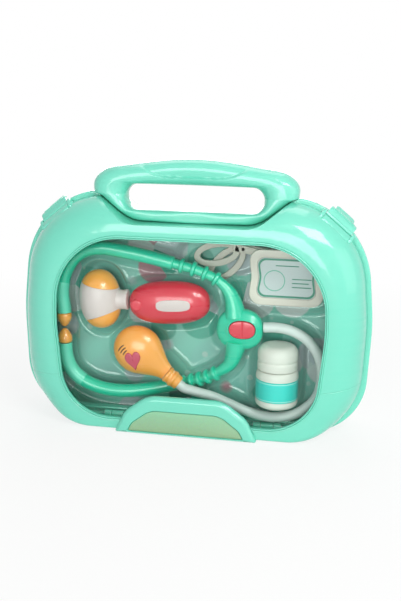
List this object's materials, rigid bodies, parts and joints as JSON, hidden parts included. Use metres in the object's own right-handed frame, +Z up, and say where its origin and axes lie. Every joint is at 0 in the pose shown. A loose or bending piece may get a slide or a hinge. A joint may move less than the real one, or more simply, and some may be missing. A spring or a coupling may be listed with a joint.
{
  "type": "toy doctor case",
  "caption": "Toy doctor's carry case: domed hinged cover with a clear window, two snap latches and a loop handle, holding a toy stethoscope, hammer, bottle, badge and scissors.",
  "frame": {"origin": "on the resting surface, under the middle of the case", "axes": "+X along the width to the viewer's right, -Y towards the viewer of the window, +Z up to the handle"},
  "size_m": [0.2798, 0.071, 0.2143],
  "materials": {
    "case_plastic": "glossy moulded mint plastic",
    "trim_plastic": "glossy moulded mint plastic, a little deeper",
    "clear_pane": "clear glossy sheet",
    "clear_tray": "clear vacuum-formed sheet",
    "label_print": "satin printed label, bare",
    "printed_card": null,
    "headset_plastic": "glossy soft mint plastic",
    "orange_plastic": "glossy orange plastic",
    "red_plastic": "glossy red plastic",
    "pink_plastic": "satin pink plastic",
    "white_plastic": "satin white plastic",
    "white_hose": "soft white hose",
    "turquoise_label": "satin printed band, bare",
    "ivory_plastic": "satin ivory plastic",
    "badge_print": null,
    "grey_plastic": "satin grey plastic",
    "steel": "plain steel wire and screws"
  },
  "bodies": {
    "case": {"rear_shell": "case_plastic", "carry_handle": "case_plastic", "handle_screw_left": "steel", "handle_screw_right": "steel", "hinge_pin_left": "steel", "hinge_pin_right": "steel", "insert_card": "printed_card", "blister_tray": "clear_tray", "headset_arm_upper": "headset_plastic", "headset_arm_lower": "headset_plastic", "ear_tip_upper": "orange_plastic", "ear_tip_lower": "orange_plastic", "stethoscope_hub": "headset_plastic", "stethoscope_hose": "white_hose", "chest_nozzle": "orange_plastic", "chest_bulb": "orange_plastic", "hammer_handle": "red_plastic", "hammer_patch": "white_plastic", "hammer_boss": "red_plastic", "hammer_neck": "white_plastic", "hammer_head": "white_plastic", "hammer_cap_top": "orange_plastic", "hammer_cap_bottom": "orange_plastic", "bottle_body": "white_plastic", "bottle_label": "turquoise_label", "id_badge": "ivory_plastic", "badge_card": "badge_print", "scissor_half_a": "grey_plastic", "scissor_rivet": "grey_plastic"},
    "cover": {"front_cover": "case_plastic", "window_bezel": "trim_plastic", "window_pane": "clear_pane", "base_plate": "case_plastic", "name_label": "label_print", "latch_pin_left": "steel", "latch_pin_right": "steel"},
    "left_latch": {"latch_left": "case_plastic"},
    "right_latch": {"latch_right": "case_plastic"},
    "hub_push_button": {"hub_button": "red_plastic"},
    "heart_push_button": {"heart_button": "pink_plastic"},
    "screw_cap": {"bottle_cap": "white_plastic"},
    "scissor_arm": {"scissor_half_b": "grey_plastic"}
  },
  "joints": [
    {"name": "cover_hinge", "type": "hinge", "parent": "case", "child": "cover", "pos_m": [0, -0.003, 0.003], "axis": [1, 0, 0], "range_deg": [0, 100]},
    {"name": "left_latch_hinge", "type": "hinge", "parent": "cover", "child": "left_latch", "pos_m": [-0.11036, -0.0078, 0.17033], "axis": [0.766, 0, 0.6428], "range_deg": [0, 100]},
    {"name": "right_latch_hinge", "type": "hinge", "parent": "cover", "child": "right_latch", "pos_m": [0.11036, -0.0078, 0.17033], "axis": [0.766, 0, -0.6428], "range_deg": [0, 100]},
    {"name": "hub_button_press", "type": "slide", "parent": "case", "child": "hub_push_button", "axis": [0, 1, 0], "range_m": [0, 0.0012], "stiffness_N_per_m": 400, "springref_m": -0.001},
    {"name": "heart_button_press", "type": "slide", "parent": "case", "child": "heart_push_button", "axis": [0, 1, 0], "range_m": [0, 0.001], "stiffness_N_per_m": 400, "springref_m": -0.001},
    {"name": "bottle_cap_turn", "type": "hinge", "parent": "case", "child": "screw_cap", "pos_m": [0.0689, -0.008, 0.064], "axis": [0, 0, 1], "continuous": true},
    {"name": "scissors_pivot", "type": "hinge", "parent": "case", "child": "scissor_arm", "pos_m": [0.038, 0.00225, 0.146], "axis": [0, 1, 0], "range_deg": [0, 12]}
  ]
}
